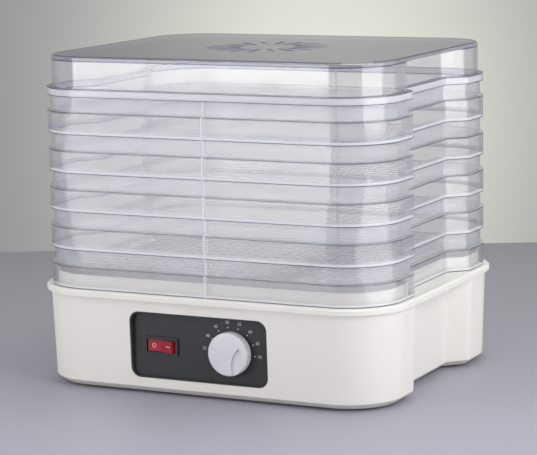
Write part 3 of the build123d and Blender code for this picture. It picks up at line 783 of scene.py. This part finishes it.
class DEHYDRATOR_OT_stage(bpy.types.Operator):
    """Set the pale table, the backdrop, the lights and the camera."""

    bl_idname = "dehydrator.stage"
    bl_label = "Stage"

    def execute(self, context):
        scene = context.scene
        scene.view_settings.view_transform = "Standard"
        # Light crosses many clear walls on its way through the stack
        scene.cycles.max_bounces = 24
        scene.cycles.transmission_bounces = 24
        scene.cycles.glossy_bounces = 8
        scene.cycles.transparent_max_bounces = 200
        self.camera(scene)
        self.table()
        self.backdrop()
        self.cards()
        self.lights(scene)
        self.world(scene)
        return {"FINISHED"}

    def camera(self, scene):
        """The photo's camera."""
        level = math.cos(PHOTO_PITCH)
        ahead = Vector((
            -math.sin(PHOTO_YAW) * level, math.cos(PHOTO_YAW) * level, -math.sin(PHOTO_PITCH)))
        right = Vector((math.cos(PHOTO_YAW), math.sin(PHOTO_YAW), 0))
        up = right.cross(ahead)
        side = right * math.cos(PHOTO_ROLL) + up * math.sin(PHOTO_ROLL)
        top = up * math.cos(PHOTO_ROLL) - right * math.sin(PHOTO_ROLL)
        data = bpy.data.cameras.new("photo_camera")
        data.sensor_fit = "HORIZONTAL"
        data.sensor_width = SENSOR_WIDE
        data.lens = PHOTO_FOCAL * SENSOR_WIDE / PHOTO_WIDE
        data.clip_end = 50.0
        eye = bpy.data.objects.new("photo_camera", data)
        scene.collection.objects.link(eye)
        turn = Matrix((side, top, -ahead)).transposed().to_4x4()
        eye.matrix_world = Matrix.Translation(PHOTO_EYE) @ turn
        scene.camera = eye

    def table(self):
        """A laminate table square to the camera, with painted light: paler near it, darker further
        back. A dull surface, soft shadows.
        """
        material, tree = new_material("Laminate, pale lavender grey")
        place = add_node(tree, "ShaderNodeTexCoord").outputs["Object"]
        _, gloss = uneven(tree, place, TABLE_PATCH_MM, 0.45, 0.55)
        # Painted light: the colour fades from pale near the camera to darker further back
        turned = add_node(tree, "ShaderNodeMapping", {
            "Vector": place, "Rotation": (0, 0, -PHOTO_YAW)})
        split = add_node(tree, "ShaderNodeSeparateXYZ", {"Vector": turned.outputs["Vector"]})
        far = add_node(tree, "ShaderNodeMapRange", {
            "Value": split.outputs["Y"], "From Min": TABLE_PAINTED_FALLOFF[0], "From Max": TABLE_PAINTED_FALLOFF[1]})
        painted_falloff = add_node(tree, "ShaderNodeMix", {
            "Factor": far.outputs["Result"], "A": rgba("#afacbb"), "B": rgba("#8c8b91"),
        }, data_type="RGBA")
        skin = add_node(tree, "ShaderNodeBsdfPrincipled", {
            "Base Color": painted_falloff.outputs["Result"], "Roughness": gloss})
        one_sided(tree, skin.outputs["BSDF"])
        middle = straight_behind((TABLE_BEHIND - TABLE_FRONT) / 2)
        stage_sheet("stage_table", (STAGE_WIDE, TABLE_BEHIND + TABLE_FRONT), (*middle, 0),
                    (0, 0, PHOTO_YAW), material)

    def backdrop(self):
        """Grey paper behind the table with a pale glow behind the object."""
        material, tree = new_material("Backdrop paper, grey with a pale glow")
        place = add_node(tree, "ShaderNodeTexCoord").outputs["Object"]
        x, y = straight_behind(BACKDROP_FAR)
        centred = add_node(tree, "ShaderNodeVectorMath", {
            0: place, 1: (x + GLOW_SHIFT, y, GLOW_MIDDLE)}, operation="SUBTRACT")
        tall = add_node(tree, "ShaderNodeVectorMath", {
            0: centred.outputs["Vector"], 1: GLOW_SHAPE}, operation="MULTIPLY")
        away = add_node(
            tree, "ShaderNodeVectorMath", {0: tall.outputs["Vector"]}, operation="LENGTH")
        reach = add_node(tree, "ShaderNodeMapRange", {
            "Value": away.outputs["Value"], "From Max": GLOW_REACH})
        ramp = add_node(tree, "ShaderNodeValToRGB", {"Fac": reach.outputs["Result"]})
        ramp.color_ramp.interpolation = "EASE"
        for stop, colour in zip(ramp.color_ramp.elements, ("#e9e9de", "#98999a")):
            stop.color = rgba(colour)
        glow = add_node(tree, "ShaderNodeEmission", {
            "Color": ramp.outputs["Color"], "Strength": 1.0})
        one_sided(tree, glow.outputs["Emission"])
        stage_sheet("stage_backdrop", (STAGE_WIDE, BACKDROP_HIGH), (x, y, BACKDROP_MIDDLE),
                    (math.pi / 2, 0, PHOTO_YAW), material)

    def cards(self):
        """White cards on the table, unseen by the camera, that the upright clear walls mirror."""
        material, tree = new_material("White card")
        glow = add_node(tree, "ShaderNodeEmission", {"Color": rgba("#f6f6fa"), "Strength": 2.4})
        seen = add_node(tree, "ShaderNodeLightPath").outputs["Is Camera Ray"]
        gone = add_node(tree, "ShaderNodeBsdfTransparent")
        unseen = add_node(tree, "ShaderNodeMixShader", {
            0: seen, 1: glow.outputs["Emission"], 2: gone.outputs["BSDF"]})
        one_sided(tree, unseen.outputs["Shader"])
        for name, x, y, size in (
            ("stage_card_left", -0.95, -1.38, (1.5, 1.45)),
            ("stage_card_right", 0.95, -0.25, (0.8, 1.0)),
        ):
            stage_sheet(name, size, (x, y, CARD_LIFT), (0, 0, 0), material)

    def lights(self, scene):
        """Softboxes: place, width and height in metres, power in watts, colour."""
        for name, place, wide, high, power, colour in (
            ("left_softbox", (-1.3, -1.0, 0.9), 1.5, 1.3, 8.0, "#fffdf8"),
            ("front_softbox", (-0.72, -1.45, 0.33), 0.9, 0.46, 6.0, "#fdfdff"),
            ("right_softbox", (1.3, -0.25, 0.62), 1.3, 1.2, 14.5, "#fdfdff"),
            ("top_softbox", (0.1, 0.2, 1.7), 1.2, 1.0, 13.0, "#fffff8"),
        ):
            data = bpy.data.lights.new(name, "AREA")
            data.shape = "RECTANGLE"
            data.size = wide
            data.size_y = high
            data.energy = power
            data.color = linear(colour)
            lamp = bpy.data.objects.new(name, data)
            scene.collection.objects.link(lamp)
            lamp.location = place
            aim = LIGHT_AIM - Vector(place)
            lamp.rotation_euler = aim.to_track_quat("-Z", "Y").to_euler()

    def world(self, scene):
        """Even pale light from all sides."""
        world = bpy.data.worlds.new("studio")
        scene.world = world
        world.use_nodes = True
        tree = world.node_tree
        tree.nodes.clear()
        light = add_node(tree, "ShaderNodeBackground", {
            "Color": rgba("#eeeef4"), "Strength": 0.45})
        add_node(tree, "ShaderNodeOutputWorld", {"Surface": light.outputs["Background"]})


class DEHYDRATOR_PT_looks(bpy.types.Panel):
    """Lists the values and the steps that use them."""

    bl_idname = "DEHYDRATOR_PT_looks"
    bl_label = "Food Dehydrator"
    bl_space_type = "VIEW_3D"
    bl_region_type = "UI"
    bl_category = "Dehydrator"

    def draw(self, context):
        looks = context.scene.dehydrator
        for name in DehydratorLooks.__annotations__:
            self.layout.prop(looks, name)
        for step in STEPS:
            self.layout.operator(step.bl_idname)


STEPS = (
    DEHYDRATOR_OT_shell,
    DEHYDRATOR_OT_stack,
    DEHYDRATOR_OT_panel,
    DEHYDRATOR_OT_switch,
    DEHYDRATOR_OT_knob,
    DEHYDRATOR_OT_works,
    DEHYDRATOR_OT_stage,
)
CLASSES = (DehydratorLooks, *STEPS, DEHYDRATOR_PT_looks)


def register():
    """Add the classes and the scene's values to Blender."""
    for cls in CLASSES:
        bpy.utils.register_class(cls)
    bpy.types.Scene.dehydrator = bpy.props.PointerProperty(type=DehydratorLooks)


def unregister():
    """Take them out again."""
    del bpy.types.Scene.dehydrator
    for cls in reversed(CLASSES):
        bpy.utils.unregister_class(cls)


def main():
    """Run every step."""
    register()
    bpy.ops.dehydrator.shell()
    bpy.ops.dehydrator.stack()
    bpy.ops.dehydrator.panel()
    bpy.ops.dehydrator.switch()
    bpy.ops.dehydrator.knob()
    bpy.ops.dehydrator.works()
    bpy.ops.dehydrator.stage()


if __name__ == "__main__":
    main()
